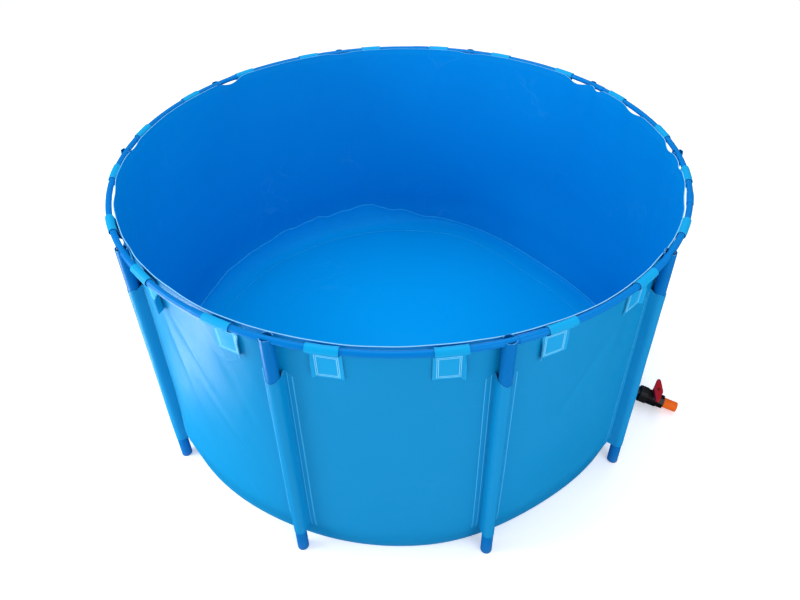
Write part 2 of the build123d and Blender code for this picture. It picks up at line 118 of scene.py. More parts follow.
# ---------------------------------------------------------------- how the wall hangs
LONG_FOLDS = (                # degrees and height at both ends, half width, lift off the wall
    (246, 0.86, 255, 0.60, 0.013, 0.0045), (243, 0.84, 247, 0.48, 0.011, 0.0035),
    (257, 0.85, 264, 0.50, 0.016, -0.0035), (250, 0.62, 262, 0.34, 0.018, 0.0030),
    (324, 0.86, 337, 0.62, 0.012, 0.0035), (330, 0.80, 317, 0.50, 0.016, -0.0030),
    (322, 0.20, 313, 0.07, 0.007, 0.0020), (258, 0.22, 265, 0.08, 0.007, 0.0020),
)


CREASE_TOP = 0.90             # height at which the cloth starts to be pulled by a loop


def pulled_creases():
    """Shallow ridges and hollows: angle and height at both ends, half width, lift off the wall."""
    found = [(math.radians(a0), h0, math.radians(a1), h1, half, lift)
             for a0, h0, a1, h1, half, lift in LONG_FOLDS]
    for bay in range(BAYS):
        for side in (-1, 1):
            for _ in range(2):
                start = BAY * bay + side * (STRAP_OFFSET + chance.uniform(-0.03, 0.05))
                lean = chance.uniform(-0.16, 0.16)
                drop = chance.uniform(0.15, 0.55)
                found.append((start, CREASE_TOP, start + lean, CREASE_TOP - drop,
                              chance.uniform(0.012, 0.030), chance.uniform(-0.0022, 0.0022)))
        for _ in range(3):
            start = BAY * (bay + chance.uniform(-0.45, 0.45))
            low = chance.uniform(0.05, 0.6)
            found.append((start, low, start + chance.uniform(-0.12, 0.12), low + chance.uniform(0.05, 0.2),
                          chance.uniform(0.006, 0.014), chance.uniform(-0.0012, 0.0012)))
    return found


creases = pulled_creases()
creases_of_bay = {bay: [] for bay in range(BAYS)}
for crease in creases:
    for bay in {in_bay(crease[0])[0], in_bay(crease[2])[0]}:
        creases_of_bay[bay].append(crease)


def crease_height(angle, height):
    """How far the creases lift the cloth at a place on the wall."""
    total = 0.0
    for a0, h0, a1, h1, half, lift in creases_of_bay[in_bay(angle)[0]]:
        away = (angle - a0 + math.pi) % (2 * math.pi) - math.pi
        dx, dy = (a1 - a0) * RING_R, h1 - h0
        px, py = away * RING_R, height - h0
        share = (px * dx + py * dy) / (dx * dx + dy * dy)
        if not -0.2 < share < 1.2:
            continue
        across = abs(px * dy - py * dx) / math.hypot(dx, dy)
        if across < 3 * half:
            total += lift * math.exp(-(across / half) ** 2) * bump(share, 0.5, 0.7)
    return total


def wall_radius(height):
    """Radius of the wall before it sags: drawn in at its foot, with a soft bend."""
    share = height / TAPER_Z
    if share > 1 - TAPER_SOFT:
        over = min(share, 1 + TAPER_SOFT) - (1 - TAPER_SOFT)
        share = 1 - TAPER_SOFT + over - over * over / (4 * TAPER_SOFT)
    return FOOT_R + (WALL_R - FOOT_R) * share


def rim_droop(angle):
    """How far the rim hangs between loops."""
    turn = math.degrees(angle)
    drop = sum(depth * bump((turn - at + 180) % 360 - 180, 0, half) for at, half, depth in RIM_SAGS)
    uneven = noise.noise(Vector((9 * math.cos(angle), 9 * math.sin(angle), 3.1)))
    return drop + 0.0012 * abs(uneven)


def rim_flare(angle):
    """How far the rim leans out to the ring: least where the cloth hangs free of it."""
    turn = (math.degrees(angle) + 90 + 180) % 360 - 180
    return RIM_FLARE - FREE_FLARE * bump(turn, 0, 75)


FOOT_DENTS = ((58, 38, -0.068), (-40, 26, -0.016), (-122, 32, 0.014))     # degrees, half width, out


def foot_shift(angle):
    """How far the empty liner's foot is out of round."""
    turn = (math.degrees(angle) + 180) % 360 - 180
    return sum(out * bump(turn, at, half) for at, half, out in FOOT_DENTS)


FLARE_DEPTH = 0.05            # depths under the rim over which its lean, its pull in and its drop fade
PULL_DEPTH = 0.11
DROOP_DEPTH = 0.16
FOOT_TOP = 0.42               # height up to which the foot's dents reach


def wall_place(angle, height, out=0.0):
    """The point a distance out of the hung wall, given by its angle and its height on the flat cloth."""
    bay, place = in_bay(angle)
    depth = max(RIM_Z - height, 0.0)
    droop = rim_droop(angle)
    radius = wall_radius(height) + rim_flare(angle) * math.exp(-depth / FLARE_DEPTH)
    radius -= 0.8 * droop * math.exp(-depth / PULL_DEPTH)
    z = height - droop * math.exp(-depth / DROOP_DEPTH)
    around = (math.cos(angle), math.sin(angle))
    by_drain = math.hypot(angle_from_drain(angle) * WALL_R, height - DRAIN_Z)
    loose = smooth(by_drain, 0.07, 0.18) * smooth(height, 0.0, 0.08)
    by_leg = 1 - 0.75 * bump(abs(place), 0.5, 0.14)
    soft = 0.0058 * noise.noise(Vector((3.2 * around[0], 3.2 * around[1], 1.9 * height)))
    soft += 0.0012 * noise.noise(Vector((11 * around[0], 11 * around[1], 5 * height + 7)))
    soft += crease_height(angle, height)
    flat = bay_flat[bay] * bump(place, 0, 0.5) * smooth(depth, 0.03, 0.3) * smooth(height, 0.0, 0.2)
    radius += loose * (by_leg * soft - flat)
    radius += foot_shift(angle) * (1 - smooth(height, -0.05, FOOT_TOP)) + out
    return Vector((radius * around[0], radius * around[1], z))


def angle_from_drain(angle):
    """The angle from the drain, from -pi to pi."""
    return (angle + math.pi) % (2 * math.pi) - math.pi


SEAM_HEIGHTS = (              # degrees from the drain, height
    (-180, 0.055), (-120, 0.034), (20, 0.030), (40, 0.014), (85, 0.014), (100, 0.028),
    (112, 0.068), (122, 0.098), (140, 0.088), (160, 0.070), (180, 0.055),
)


def seam_height(angle):
    """Height up the wall of the floor's turned-up edge."""
    turn = math.degrees(angle_from_drain(angle))
    wander = noise.noise(Vector((7 * math.cos(angle), 7 * math.sin(angle), 0.4)))
    kink = noise.noise(Vector((19 * math.cos(angle), 19 * math.sin(angle), 2.4)))
    return between(turn, SEAM_HEIGHTS) * (1 + 0.20 * wander + 0.10 * kink)


# ---------------------------------------------------------------- materials
def srgb(red, green, blue):
    """A colour given from 0 to 255 as the screen shows it."""
    def linear(value):
        value /= 255
        return value / 12.92 if value <= 0.04045 else ((value + 0.055) / 1.055) ** 2.4
    return (linear(red), linear(green), linear(blue), 1.0)


def put(tree, kind, sockets=None, **settings):
    """A shader node with its settings, and its inputs set to values or linked to sockets."""
    node = tree.nodes.new("ShaderNode" + kind)
    for key, value in settings.items():
        setattr(node, key, value)
    for key, value in (sockets or {}).items():
        if isinstance(value, bpy.types.NodeSocket):
            tree.links.new(value, node.inputs[key])
        else:
            node.inputs[key].default_value = value
    return node


def maths(tree, operation, *values):
    """The output of a Math node."""
    return put(tree, "Math", dict(enumerate(values)), operation=operation).outputs[0]


def new_group(name, inputs, outputs):
    """A node group with its sockets: the tree, its inputs and the node that takes its outputs."""
    tree = bpy.data.node_groups.new(name, "ShaderNodeTree")
    for label, kind, value in inputs:
        made = tree.interface.new_socket(label, in_out="INPUT", socket_type="NodeSocket" + kind)
        if value is not None:
            made.default_value = value
    for label, kind in outputs:
        tree.interface.new_socket(label, in_out="OUTPUT", socket_type="NodeSocket" + kind)
    return tree, tree.nodes.new("NodeGroupInput").outputs, tree.nodes.new("NodeGroupOutput")


def coated_weave():
    """The threads of the base cloth showing faintly through its coating."""
    tree, given, result = new_group("coated_weave",
                                    [("Vector", "Vector", None), ("Pitch", "Float", 0.0012)],
                                    [("Height", "Float")])
    scale = maths(tree, "DIVIDE", 0.314, given["Pitch"])
    warp = put(tree, "TexWave", {"Vector": given["Vector"], "Scale": scale}, bands_direction="X")
    weft = put(tree, "TexWave", {"Vector": given["Vector"], "Scale": scale}, bands_direction="Y")
    both = maths(tree, "MULTIPLY", warp.outputs["Fac"], weft.outputs["Fac"])
    tree.links.new(both, result.inputs["Height"])
    return tree


def packing_creases():
    """Thin crossed fold marks and small dents left from when the cloth was packed; the cloth paints a
    highlight along the fold lines' mask.
    """
    tree, given, result = new_group("packing_creases",
                                    [("Vector", "Vector", None), ("Scale", "Float", 4.0),
                                     ("Amount", "Float", 0.5)],
                                    [("Height", "Float"), ("Mask", "Float")])
    warp = put(tree, "TexNoise", {"Vector": given["Vector"], "Scale": 2.5, "Detail": 3.0})
    bent = put(tree, "VectorMath", {0: given["Vector"], 1: warp.outputs["Color"]}, operation="ADD")
    cells = put(tree, "TexVoronoi", {"Vector": bent.outputs[0], "Scale": given["Scale"], "Randomness": 1.0},
                feature="DISTANCE_TO_EDGE")
    line = put(tree, "MapRange", {"Value": cells.outputs["Distance"], "From Min": 0.0, "From Max": 0.035,
                                  "To Min": 1.0, "To Max": 0.0}, interpolation_type="SMOOTHSTEP").outputs[0]
    patches = put(tree, "TexNoise", {"Vector": given["Vector"], "Scale": 1.7, "Detail": 2.0})
    sparse = put(tree, "MapRange", {"Value": patches.outputs["Fac"], "From Min": 0.52, "From Max": 0.70},
                 interpolation_type="SMOOTHSTEP").outputs[0]
    mask = maths(tree, "MULTIPLY", maths(tree, "MULTIPLY", line, sparse), given["Amount"])
    dents = put(tree, "TexNoise", {"Vector": given["Vector"], "Scale": 9.0, "Detail": 4.0,
                                   "Roughness": 0.45})
    height = maths(tree, "ADD", mask, maths(tree, "MULTIPLY", dents.outputs["Fac"], 0.35))
    tree.links.new(height, result.inputs["Height"])
    tree.links.new(mask, result.inputs["Mask"])
    return tree


def tone_drift():
    """Slow changes of shade over a surface, with finer ones mixed in."""
    tree, given, result = new_group("tone_drift",
                                    [("Vector", "Vector", None), ("Colour", "Color", None),
                                     ("Spread", "Float", 0.08), ("Scale", "Float", 2.0)],
                                    [("Colour", "Color")])
    broad = put(tree, "TexNoise", {"Vector": given["Vector"], "Scale": given["Scale"], "Detail": 3.0})
    finer = maths(tree, "MULTIPLY", given["Scale"], 17.0)
    fine = put(tree, "TexNoise", {"Vector": given["Vector"], "Scale": finer, "Detail": 5.0,
                                  "Roughness": 0.6})
    mixed = maths(tree, "ADD", maths(tree, "MULTIPLY", broad.outputs["Fac"], 0.75),
                  maths(tree, "MULTIPLY", fine.outputs["Fac"], 0.25))
    centred = maths(tree, "MULTIPLY", maths(tree, "SUBTRACT", mixed, 0.5), given["Spread"])
    hue = maths(tree, "ADD", 0.5, maths(tree, "MULTIPLY", centred, 0.05))
    value = maths(tree, "ADD", 1.0, maths(tree, "MULTIPLY", centred, 2.0))
    shade = put(tree, "HueSaturation", {"Hue": hue, "Value": value, "Color": given["Colour"]})
    tree.links.new(shade.outputs["Color"], result.inputs["Colour"])
    return tree


def grain():
    """The fine skin of powder coat or moulded plastic."""
    tree, given, result = new_group("grain", [("Vector", "Vector", None), ("Size", "Float", 0.0012)],
                                    [("Height", "Float"), ("Speckle", "Float")])
    scale = maths(tree, "DIVIDE", 1.0, given["Size"])
    skin = put(tree, "TexNoise", {"Vector": given["Vector"], "Scale": scale, "Detail": 2.0})
    coarser = maths(tree, "MULTIPLY", scale, 0.3)
    specks = put(tree, "TexVoronoi", {"Vector": given["Vector"], "Scale": coarser})
    speckle = put(tree, "MapRange", {"Value": specks.outputs["Distance"], "From Min": 0.0, "From Max": 0.25,
                                     "To Min": 1.0, "To Max": 0.0}).outputs[0]
    tree.links.new(skin.outputs["Fac"], result.inputs["Height"])
    tree.links.new(speckle, result.inputs["Speckle"])
    return tree


def weld_line():
    """A pressed line, from a distance to its middle: a groove with a raised lip on each side, and a mask on
    which the cloth paints a highlight.
    """
    tree, given, result = new_group("weld_line", [("Distance", "Float", 0.0), ("Half", "Float", 0.0008)],
                                    [("Mask", "Float"), ("Height", "Float")])
    apart = maths(tree, "DIVIDE", maths(tree, "ABSOLUTE", given["Distance"]), given["Half"])
    mask = put(tree, "MapRange", {"Value": apart, "From Min": 0.6, "From Max": 1.2,
                                  "To Min": 1.0, "To Max": 0.0}, interpolation_type="SMOOTHSTEP").outputs[0]
    beside = maths(tree, "ABSOLUTE", maths(tree, "SUBTRACT", apart, 1.8))
    lip = put(tree, "MapRange", {"Value": beside, "From Min": 0.0, "From Max": 1.0,
                                 "To Min": 1.0, "To Max": 0.0}, interpolation_type="SMOOTHSTEP").outputs[0]
    height = maths(tree, "SUBTRACT", maths(tree, "MULTIPLY", lip, 0.6), mask)
    tree.links.new(mask, result.inputs["Mask"])
    tree.links.new(height, result.inputs["Height"])
    return tree


def ground_dust():
    """Pale dust near the ground, thinner higher up."""
    tree, given, result = new_group("ground_dust", [("Vector", "Vector", None), ("Top", "Float", 0.10)],
                                    [("Mask", "Float")])
    height = put(tree, "SeparateXYZ", {0: given["Vector"]}).outputs["Z"]
    low = put(tree, "MapRange", {"Value": height, "From Min": 0.0, "From Max": given["Top"],
                                 "To Min": 1.0, "To Max": 0.0}).outputs[0]
    patchy = put(tree, "TexNoise", {"Vector": given["Vector"], "Scale": 24.0, "Detail": 5.0})
    mask = maths(tree, "MULTIPLY", maths(tree, "POWER", low, 2.0), patchy.outputs["Fac"])
    tree.links.new(mask, result.inputs["Mask"])
    return tree


WEAVE, CREASES, DRIFT, GRAIN, WELD, DUST = (
    make() for make in (coated_weave, packing_creases, tone_drift, grain, weld_line, ground_dust)
)
DUST_COLOUR = srgb(176, 190, 200)
# Pale blue painted along the fold lines as a highlight.
FOLD_HIGHLIGHT = srgb(120, 200, 250)


def use(tree, group, **sockets):
    """The outputs of a node group placed in a material."""
    return put(tree, "Group", sockets, node_tree=group).outputs


def mix(tree, share, a, b):
    """Colour a turned into colour b by a share."""
    return put(tree, "Mix", {0: share, 6: a, 7: b}, data_type="RGBA").outputs[2]


def new_material(name, **shader):
    """A material, its tree and its Principled shader with uniform values set."""
    material = bpy.data.materials.new(name)
    material.use_nodes = True
    tree = material.node_tree
    principled = tree.nodes["Principled BSDF"]
    for key, value in shader.items():
        principled.inputs[key.replace("_", " ")].default_value = value
    return material, tree, principled


def cloth(name, colour, gloss=0.08, roughness=0.36, spread=0.05, crease=0.5, welds=None,
          line=(95, 205, 255), dust=0.06, from_floor=None):
    """Coated cloth: weave, fold marks with a painted highlight along them, drift of shade, the weld lines
    that a function draws with a painted highlight along them, and, given a floor colour, a painted shade
    from that lighter tone up to its own.
    """
    material, tree, principled = new_material(name, Roughness=roughness, Specular_IOR_Level=gloss,
                                              Specular_Tint=(0.5, 0.85, 1.0, 1.0))
    place = put(tree, "TexCoord").outputs
    flat = place["UV"]
    shade = use(tree, DRIFT, Vector=place["Object"], Colour=colour, Spread=spread, Scale=1.6)["Colour"]
    folds = use(tree, CREASES, Vector=flat, Scale=3.5, Amount=crease)
    # A painted highlight: the fold lines are tinted towards pale blue.
    shade = mix(tree, maths(tree, "MULTIPLY", folds["Mask"], 0.06), shade, FOLD_HIGHLIGHT)
    # A painted shade: the cloth starts in the floor's lighter tone and darkens to its own colour over its
    # first 9 cm as it rises into the corner.
    if from_floor:
        along = put(tree, "SeparateXYZ", {0: flat}).outputs["Y"]
        risen = put(tree, "MapRange", {"Value": along, "From Min": 0.0, "From Max": 0.09},
                    interpolation_type="SMOOTHSTEP").outputs[0]
        shade = mix(tree, risen, from_floor, shade)
    threads = use(tree, WEAVE, Vector=flat)["Height"]
    relief = put(tree, "Bump", {"Height": folds["Height"], "Strength": 0.5, "Distance": 0.0012}).outputs[0]
    relief = put(tree, "Bump", {"Height": threads, "Strength": 0.25, "Distance": 0.00006,
                                "Normal": relief}).outputs[0]
    if welds:
        mask, height = welds(tree, flat)
        # A painted highlight: the weld lines take the pale line colour; their groove and lips are bumps.
        shade = mix(tree, maths(tree, "MULTIPLY", mask, 0.75), shade, srgb(*line))
        relief = put(tree, "Bump", {"Height": height, "Strength": 0.7, "Distance": 0.0004,
                                    "Normal": relief}).outputs[0]
    low = use(tree, DUST, Vector=place["Object"], Top=0.06)["Mask"]
    shade = mix(tree, maths(tree, "MULTIPLY", low, dust), shade, DUST_COLOUR)
    smear = put(tree, "TexNoise", {"Vector": place["Object"], "Scale": 5.0, "Detail": 3.0}).outputs["Fac"]
    sheen = maths(tree, "ADD", roughness - 0.05, maths(tree, "MULTIPLY", smear, 0.12))
    tree.links.new(shade, principled.inputs["Base Color"])
    tree.links.new(sheen, principled.inputs["Roughness"])
    tree.links.new(relief, principled.inputs["Normal"])
    return material


WELD_HALF = 0.0009            # half width of most weld lines
HEM_WELD_HALF = 0.0018
SEAM_WELD_HALF = 0.0013
POCKET_WELDS = (0.0665, 0.0815)           # both ways from the pocket's middle
HEM_WELDS = (0.0235, 0.0265)              # across the hem, from its inner edge
SEAM_WELDS = (0.1485, 0.1410)             # across the floor's edge, from its start on the ground
PATCH_WELDS = (0.050, 0.046)              # radii on the patch
TAB_WELD_AT = 0.043           # middle of a tab's double square, up from the tab's end
TAB_WELD = (0.033, 0.037)     # half width and half height of its outer square
TAB_WELD_STEP = 0.0045        # how far the inner square lies inside it


def add_welds(tree, distances, half=WELD_HALF):
    """Several weld lines as one mask and one height."""
    made = [use(tree, WELD, Distance=distance, Half=half) for distance in distances]
    mask, height = made[0]["Mask"], made[0]["Height"]
    for more in made[1:]:
        mask = maths(tree, "MAXIMUM", mask, more["Mask"])
        height = maths(tree, "ADD", height, more["Height"])
    return mask, height


def pocket_welds(tree, flat):
    """Two lines down each flange of a pocket, from the cloth's own width."""
    across = maths(tree, "ABSOLUTE", put(tree, "SeparateXYZ", {0: flat}).outputs["X"])
    return add_welds(tree, [maths(tree, "SUBTRACT", across, at) for at in POCKET_WELDS])


def tab_welds(tree, flat):
    """A double square on a loop's tab, from the cloth's own width and length."""
    split = put(tree, "SeparateXYZ", {0: flat}).outputs
    across = maths(tree, "ABSOLUTE", split["X"])
    along = maths(tree, "ABSOLUTE", maths(tree, "SUBTRACT", split["Y"], TAB_WELD_AT))
    lines = []
    for inset in (0.0, TAB_WELD_STEP):
        side = maths(tree, "SUBTRACT", across, TAB_WELD[0] - inset)
        end = maths(tree, "SUBTRACT", along, TAB_WELD[1] - inset)
        lines.append(maths(tree, "MAXIMUM", side, end))
    return add_welds(tree, lines)


def hem_welds(tree, flat):
    """Two close lines along the hem's fold on the rim's crest, painted pale there as one highlight bead."""
    along = put(tree, "SeparateXYZ", {0: flat}).outputs["Y"]
    return add_welds(tree, [maths(tree, "SUBTRACT", along, at) for at in HEM_WELDS], HEM_WELD_HALF)


def seam_edge(tree, flat):
    """Two lines along the upper edge of the floor's turned-up band, painted pale there as a highlight."""
    along = put(tree, "SeparateXYZ", {0: flat}).outputs["Y"]
    return add_welds(tree, [maths(tree, "SUBTRACT", along, at) for at in SEAM_WELDS], SEAM_WELD_HALF)


def ring_welds(tree, flat):
    """Two round lines near the edge of the drain's patch."""
    split = put(tree, "SeparateXYZ", {0: flat}).outputs
    away = maths(tree, "POWER", maths(tree, "ADD", maths(tree, "POWER", split["X"], 2.0),
                                      maths(tree, "POWER", split["Y"], 2.0)), 0.5)
    return add_welds(tree, [maths(tree, "SUBTRACT", away, at) for at in PATCH_WELDS])


def painted_tube(name, colour, gloss, edge_high=None):
    """Satin powder coat on steel tube, rubbed a little along a cut edge at a given height."""
    material, tree, principled = new_material(name, Roughness=0.28, Specular_IOR_Level=gloss,
                                              Specular_Tint=(0.15, 0.75, 1.0, 1.0))
    place = put(tree, "TexCoord").outputs["Object"]
    shade = use(tree, DRIFT, Vector=place, Colour=colour, Spread=0.07, Scale=5.0)["Colour"]
    skin = use(tree, GRAIN, Vector=place, Size=0.0014)
    shade = mix(tree, maths(tree, "MULTIPLY", skin["Speckle"], 0.02), shade, srgb(140, 205, 250))
    height = put(tree, "SeparateXYZ", {0: place}).outputs["Z"]
    if edge_high is not None:
        chips = put(tree, "TexNoise", {"Vector": place, "Scale": 320.0, "Detail": 4.0}).outputs["Fac"]
        near = put(tree, "MapRange", {"Value": height, "From Min": edge_high - 0.002,
                                      "From Max": edge_high}).outputs[0]
        worn = put(tree, "MapRange", {"Value": maths(tree, "MULTIPLY", near, chips),
                                      "From Min": 0.35, "From Max": 0.6}).outputs[0]
        shade = mix(tree, maths(tree, "MULTIPLY", worn, 0.7), shade, srgb(120, 190, 235))
    dust = use(tree, DUST, Vector=place, Top=0.08)["Mask"]
    shade = mix(tree, maths(tree, "MULTIPLY", dust, 0.08), shade, DUST_COLOUR)
    relief = put(tree, "Bump", {"Height": skin["Height"], "Strength": 0.35, "Distance": 0.00012}).outputs[0]
    tree.links.new(shade, principled.inputs["Base Color"])
    tree.links.new(relief, principled.inputs["Normal"])
    return material


def moulded(name, colour, roughness=0.42, size=0.0009, depth=0.0001, lighter=0.06, **shader):
    """Moulded plastic or rubber with a fine skin, a drift of shade and paler specks."""
    material, tree, principled = new_material(name, **shader)
    place = put(tree, "TexCoord").outputs["Object"]
    shade = use(tree, DRIFT, Vector=place, Colour=colour, Spread=0.16, Scale=28.0)["Colour"]
    skin = use(tree, GRAIN, Vector=place, Size=size)
    shade = mix(tree, maths(tree, "MULTIPLY", skin["Speckle"], lighter), shade, srgb(150, 150, 155))
    relief = put(tree, "Bump", {"Height": skin["Height"], "Strength": 0.5, "Distance": depth}).outputs[0]
    smear = put(tree, "TexNoise", {"Vector": place, "Scale": 60.0, "Detail": 4.0}).outputs["Fac"]
    gloss = maths(tree, "ADD", roughness - 0.08, maths(tree, "MULTIPLY", smear, 0.16))
    tree.links.new(shade, principled.inputs["Base Color"])
    tree.links.new(gloss, principled.inputs["Roughness"])
    tree.links.new(relief, principled.inputs["Normal"])
    return material


# The floor panel's blue is lighter than the same cloth on the walls: painted light for the floor that faces
# up to the lamps.
LIT_FLOOR_BLUE = srgb(0, 143, 211)

outside_cloth = cloth("outside_cloth", srgb(0, 131, 188), gloss=0.12)
inside_cloth = cloth("inside_cloth", srgb(0, 124, 200), gloss=0.03, spread=0.06, dust=0.0)
cut_edge = cloth("cut_edge", srgb(90, 190, 235), crease=0.0)
floor_cloth = cloth("floor_cloth", LIT_FLOOR_BLUE, gloss=0.03, crease=0.3, dust=0.0)
# The seam band is the floor's edge: its darker blue and the fade up from the floor's tone are painted
# shade, and its pale line colour is a painted highlight along its upper edge.
seam_cloth = cloth("seam_cloth", srgb(0, 132, 206), gloss=0.03, crease=0.2, welds=seam_edge,
                   line=(50, 200, 255), dust=0.0, from_floor=LIT_FLOOR_BLUE)
# The hem's pale line colour is a painted highlight bead on the rim.
hem_cloth = cloth("hem_cloth", srgb(0, 126, 200), gloss=0.06, crease=0.2, welds=hem_welds,
                  line=(165, 228, 255))
# Pockets and the drain's patch take the default pale line colour: a painted highlight along their welds.
pocket_cloth = cloth("pocket_cloth", srgb(0, 133, 192), gloss=0.16, welds=pocket_welds, crease=0.2)
# The pale line colour on the tabs' double squares is a painted highlight along the welds.
strap_cloth = cloth("strap_cloth", srgb(8, 150, 209), gloss=0.14, crease=0.2, welds=tab_welds,
                    line=(150, 225, 255))
patch_cloth = cloth("patch_cloth", srgb(0, 133, 192), gloss=0.16, welds=ring_welds, crease=0.1)
ring_paint = painted_tube("ring_paint", srgb(0, 112, 192), gloss=0.30)
leg_paint = painted_tube("leg_paint", srgb(0, 104, 176), gloss=0.10, edge_high=LEG_BOX[1].z)
foot_plastic = moulded("foot_plastic", srgb(0, 84, 150), lighter=0.01, Specular_IOR_Level=0.2)
valve_black = moulded("valve_black", srgb(14, 15, 19), lighter=0.03)
seal_rubber = moulded("seal_rubber", srgb(16, 16, 17), roughness=0.62)
seat_white = moulded("seat_white", srgb(232, 232, 226), roughness=0.35)
ball_black = moulded("ball_black", srgb(40, 42, 46), roughness=0.15, depth=0.00002)
handle_red = moulded("handle_red", srgb(172, 8, 30), roughness=0.30, lighter=0.02)
stub_orange = moulded("stub_orange", srgb(230, 96, 0), roughness=0.5, lighter=0.0, Specular_IOR_Level=0.2)
screw_zinc = moulded("screw_zinc", srgb(150, 150, 152), roughness=0.35, Metallic=1.0)

NODE_MATERIALS = (            # the start of a node's name, and its material: the first that fits is used
    ("ring_arc", ring_paint), ("leg_", leg_paint), ("foot_plugs", foot_plastic),
    ("handle_screw", screw_zinc), ("handle", handle_red), ("outlet_stub", stub_orange),
    ("ball", ball_black), ("stem_o_rings", seal_rubber), ("union_o_ring", seal_rubber),
    ("inner_gasket", seal_rubber), ("outer_gasket", seal_rubber),
    ("inlet_seat", seat_white), ("outlet_seat", seat_white), ("", valve_black),
)
for name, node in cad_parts.items():
    material = next(made for start, made in NODE_MATERIALS if name.startswith(start))
    node.data.materials.clear()
    node.data.materials.append(material)


# ---------------------------------------------------------------- making pieces
def piece_from(mesh, name, materials, sharp=35):
    """A bmesh made into an object at the origin, with smooth faces and sharp corners."""
    data = bpy.data.meshes.new(name)
    mesh.to_mesh(data)
    mesh.free()
    for polygon in data.polygons:
        polygon.use_smooth = True
    data.set_sharp_from_angle(angle=math.radians(sharp))
    for material in materials:
        data.materials.append(material)
    piece = bpy.data.objects.new(name, data)
    bpy.context.scene.collection.objects.link(piece)
    return piece


def with_thickness(piece, thickness=CLOTH_T, sharp=35):
    """The cloth's thickness laid on its inner side, with its own inner and edge materials."""
    solid = piece.modifiers.new("thickness", "SOLIDIFY")
    solid.thickness = thickness
    solid.offset = -1
    solid.material_offset = 1
    solid.material_offset_rim = 2
    graph = bpy.context.evaluated_depsgraph_get()
    data = bpy.data.meshes.new_from_object(piece.evaluated_get(graph), preserve_all_data_layers=True,
                                           depsgraph=graph)
    piece.modifiers.clear()
    piece.data = data
    data.set_sharp_from_angle(angle=math.radians(sharp))
    return piece


def cloth_grid(columns, rows, width, length, place, closed=False):
    """A bmesh of cloth: a flat grid put in place by a function of its two shares, with UVs in metres."""
    mesh = bmesh.new()
    layer = mesh.loops.layers.uv.new("cloth")
    bmesh.ops.create_grid(mesh, x_segments=columns, y_segments=rows, size=0.5, calc_uvs=True)
    for face in mesh.faces:
        for loop in face.loops:
            share = loop[layer].uv
            loop[layer].uv = ((share.x - 0.5) * width, share.y * length)
    for vertex in mesh.verts:
        vertex.co = place(vertex.co.x + 0.5, vertex.co.y + 0.5)
    if closed:
        bmesh.ops.remove_doubles(mesh, verts=mesh.verts[:], dist=0.00002)
    return mesh


def liner_wall():
    """The wall: one strip of cloth round the tank, light at its cut edge and with the drain's hole."""
    def place(share, up):
        return wall_place(2 * math.pi * share, RIM_Z * up)
    mesh = cloth_grid(500, 64, 2 * math.pi * WALL_R, RIM_Z, place, closed=True)
    drain = wall_place(0, DRAIN_Z)
    hidden = [face for face in mesh.faces if (face.calc_center_median() - drain).length < 0.016]
    bmesh.ops.delete(mesh, geom=hidden, context="FACES")
    piece = with_thickness(piece_from(mesh, "liner_wall_cloth", [outside_cloth, inside_cloth, cut_edge]))
    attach(piece, "tank")
    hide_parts("liner_wall")
    return piece


HEM_SECTION = (               # depth under the rim and distance out of the wall, from inside over the rim
    (0.028, -0.0016), (0.020, -0.0016), (0.012, -0.0017), (0.006, -0.0020), (0.003, -0.0025),
    (0.0012, -0.0027), (-0.0004, -0.0021), (-0.0011, -0.0008), (-0.0007, 0.0007), (0.0006, 0.0014),
    (0.0022, 0.0013), (0.004, 0.0011), (0.009, 0.0009),
)


def top_hem():
    """The rim's hem: a strip folded over the wall's edge and welded inside."""
    def place(share, along):
        depth, out = HEM_SECTION[round(along * (len(HEM_SECTION) - 1))]
        angle = 2 * math.pi * share
        ripple = 0.0012 * noise.noise(Vector((40 * math.cos(angle), 40 * math.sin(angle), depth * 30)))
        return wall_place(angle, RIM_Z - depth, out + ripple * smooth(depth, 0.0, 0.01))
    mesh = cloth_grid(720, len(HEM_SECTION) - 1, 2 * math.pi * WALL_R, HEM_W, place, closed=True)
    bmesh.ops.reverse_faces(mesh, faces=mesh.faces[:])
    piece = with_thickness(piece_from(mesh, "top_hem_cloth", [hem_cloth, hem_cloth, cut_edge]), STRIP_T)
    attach(piece, "tank")
    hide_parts("top_hem")
    return piece


CORNER_IN = 0.0022            # from the wall's foot in to the corner of the floor's cloth
LAYER = 0.0012                # height of a layer of cloth over what it lies on


def floor_height(x, y):
    """Height of the floor's cloth where it doesn't lie quite flat on the ground."""
    radius = math.hypot(x, y)
    lift = 0.0016 * (noise.noise(Vector((2.1 * x, 2.1 * y, 0.3))) + 0.6)
    edge = smooth(radius, 0.62, 0.90)
    lift += edge * 0.004 * abs(noise.noise(Vector((6 * x, 6 * y, 4.0))))
    return LAYER + max(lift, 0.0)


def floor_radius(angle):
    """Radius of the corner between floor and wall."""
    return FOOT_R - CORNER_IN + foot_shift(angle)


def liner_floor():
    """The floor: a round panel that lies on the ground."""
    def place(share, out):
        angle = 2 * math.pi * share
        radius = floor_radius(angle) * out
        x, y = radius * math.cos(angle), radius * math.sin(angle)
        return Vector((x, y, floor_height(x, y)))
    mesh = cloth_grid(300, 60, 1.0, 1.0, place, closed=True)
    layer = mesh.loops.layers.uv.active
    for face in mesh.faces:
        for loop in face.loops:
            loop[layer].uv = loop.vert.co.xy
    bmesh.ops.recalc_face_normals(mesh, faces=mesh.faces[:])
    if sum(face.normal.z for face in mesh.faces) < 0:
        bmesh.ops.reverse_faces(mesh, faces=mesh.faces[:])
    piece = with_thickness(piece_from(mesh, "liner_floor_cloth", [floor_cloth, outside_cloth, cut_edge]))
    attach(piece, "tank")
    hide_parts("liner_floor")
    return piece


SEAM_IN = 0.085               # how far the turned-up edge starts inside the corner
SEAM_OUT = -0.0021            # the edge lies on the wall's inner side
SEAM_LAP = 0.85               # share of the edge's width at which it meets the wall


